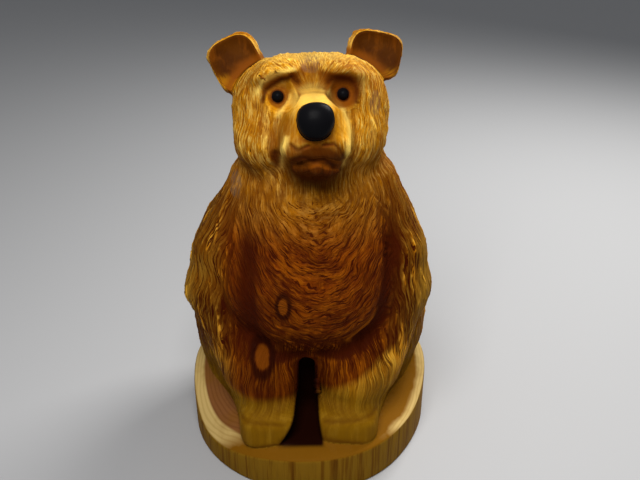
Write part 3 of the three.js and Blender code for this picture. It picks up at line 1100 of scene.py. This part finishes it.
def log_disc(n, skin, colour):
    """The base: ringed brown heart and cream rim on top, streaked wood round its side."""
    radius = skin.section["radius"]
    base = n.step(skin.on_base, 0.28, 0.36)
    upright = n.apart(n.add("NewGeometry").outputs["Normal"])[2]
    wall = n.times(base, n.step(upright, 0.65, 0.35))
    rings = n.times(skin.section["ring"], 0.22)
    heart_end = n.plus(radius, n.step(skin.x, 0.0, -0.1, 0.0, 0.002))
    heart_top = n.mix(rings, BASE_HEART, HEARTWOOD_DARK)
    top = n.mix(n.step(heart_end, *BASE_HEART_REACH), heart_top, n.mix(rings, BASE_CREAM, SAPWOOD))
    # The top is darker in cloudy blotches, towards the front, and in a ring strip on the bear's left.
    cloudy = n.step(skin.grain["cloud"], 0.45, 0.7, 0.0, 0.5)
    darker_top = n.plus(cloudy, n.step(skin.y, -0.09, -0.12))
    darker_top = n.plus(darker_top, n.times(n.step(skin.x, 0.04, 0.09), n.step(radius, 0.145, 0.136)))
    colour = n.mix(base, colour, n.mix(darker_top, top, BASE_TOP_DARK))
    streaks = n.noise(n.stretch(skin.place, (1, 1, 0.05)), 150, 3, 0.7)
    cracks = n.noise(n.stretch(skin.place, (1, 1, 0.02)), 60)
    side_wood = n.mix(n.step(streaks, 0.45, 0.65), BASE_SIDE, SAPWOOD_DARK)
    side_wood = n.mix(n.times(n.step(cracks, 0.62, 0.70), 0.5), side_wood, HEARTWOOD_DARK)
    return n.mix(wall, colour, side_wood)


def shaded_slot(n, skin, colour):
    """Painted shade: the saw slot is painted nearly black inside, a little less so up at its round end."""
    within = n.times(n.step(skin.on_slot, 0.02, 0.45), n.step(skin.y, -0.134, -0.127))
    return n.mix(n.times(within, n.step(skin.z, 0.146, 0.112, 0.3, 1.0)), colour, SLOT_SHADE)


def patches_and_knots(n, skin, colour):
    """Grey weathering between the lines, and knots with their dark rings and smoky streaks."""
    for centre, radii, share in WEATHERED_PATCHES:
        patch = use(n, KNOT, place=skin.place, centre=centre, radii=radii)["core"]
        between_lines = n.step(skin.streak, 0.58, 0.46, 0.0, share)
        colour = n.mix(n.times(patch, between_lines), colour, WEATHERED)
    for centre, radii in KNOTS:
        knot = use(n, KNOT, place=skin.place, centre=centre, radii=radii)
        colour = n.mix(n.times(knot["smoke"], 0.45), colour, HEARTWOOD_DARK)
        colour = n.mix(n.times(knot["core"], 0.7), colour, KNOT_CORE)
        colour = n.mix(n.times(knot["ring"], 0.85), colour, SMOKE)
    return colour


def oiled_wood():
    """The one finish: oiled wood all over, with black paint on the nose and the eyes."""
    material = bpy.data.materials.new("oiled_wood")
    material.use_nodes = True
    n = Nodes(material.node_tree)
    skin = Skin(n)
    wood, light, dark = wood_shades(n, skin)
    colour = figured_wood(n, skin, wood, light, dark)
    colour = stroked_wood(n, skin, colour, light, dark)
    colour = face_and_folds(n, skin, colour, light, dark)
    colour = log_disc(n, skin, colour)
    colour = shaded_slot(n, skin, colour)
    colour = patches_and_knots(n, skin, colour)
    paint = n.step(skin.painted, 0.37, 0.41)
    fibre = skin.grain["fibre"]
    relief = n.plus(n.times(n.times(skin.streak, skin.marked), 1.2), n.times(fibre, 0.12))
    height = n.times(relief, n.minus(1.0, paint))
    bump = n.add("Bump", {"Height": height, "Strength": 0.9, "Distance": 0.0022})
    rough = n.plus(n.step(fibre, 0.2, 0.8, 0.5, 0.66), n.times(paint, -0.2))
    shader = material.node_tree.nodes["Principled BSDF"]
    n.feed(shader.inputs["Base Color"], n.mix(paint, colour, PAINT))
    n.feed(shader.inputs["Normal"], bump.outputs[0])
    n.feed(shader.inputs["Roughness"], rough)
    shader.inputs["Specular IOR Level"].default_value = 0.025
    return material


carving.data.materials.clear()
carving.data.materials.append(oiled_wood())


# ---- floor, lights and camera ----


def pale_floor():
    bpy.ops.mesh.primitive_plane_add(size=8)
    floor = bpy.context.object
    floor.name = "floor"
    material = bpy.data.materials.new("pale_floor")
    material.use_nodes = True
    shader = material.node_tree.nodes["Principled BSDF"]
    shader.inputs["Base Color"].default_value = (0.45, 0.46, 0.48, 1)
    shader.inputs["Roughness"].default_value = 0.7
    floor.data.materials.append(material)


def soft_light(name, place, target, size, watts, colour):
    """A square lamp of the given size that faces its target."""
    light = bpy.data.lights.new(name, "AREA")
    light.energy, light.size, light.color = watts, size, colour
    lamp = bpy.data.objects.new(name, light)
    bpy.context.scene.collection.objects.link(lamp)
    lamp.location = place
    lamp.rotation_euler = (Vector(target) - Vector(place)).to_track_quat("-Z", "Y").to_euler()


def studio_world():
    world = bpy.data.worlds.new("studio")
    bpy.context.scene.world = world
    world.use_nodes = True
    backdrop = world.node_tree.nodes["Background"]
    backdrop.inputs["Color"].default_value = (0.97, 0.98, 1.0, 1)
    backdrop.inputs["Strength"].default_value = 0.2


LOOKING_DOWN = 27.45  # degrees below level
LOOKING_RIGHT = 0.89


def camera():
    lens = bpy.data.cameras.new("camera")
    lens.lens, lens.sensor_width = 40.0, 36.0
    eye = bpy.data.objects.new("camera", lens)
    bpy.context.scene.collection.objects.link(eye)
    eye.location = (0.0, -0.742, 0.635)
    eye.rotation_euler = (math.radians(90 - LOOKING_DOWN), 0, math.radians(-LOOKING_RIGHT))
    bpy.context.scene.camera = eye


bpy.context.scene.view_settings.view_transform = "Standard"
pale_floor()
studio_world()
soft_light("key", (0.9, 0.85, 1.4), (0, 0, 0.25), size=0.9, watts=30, colour=(1.0, 0.97, 0.92))
soft_light("overhead", (-0.1, -0.6, 1.08), (0, -0.05, 0.33), size=0.45, watts=9.2, colour=(1.0, 0.97, 0.93))
camera()
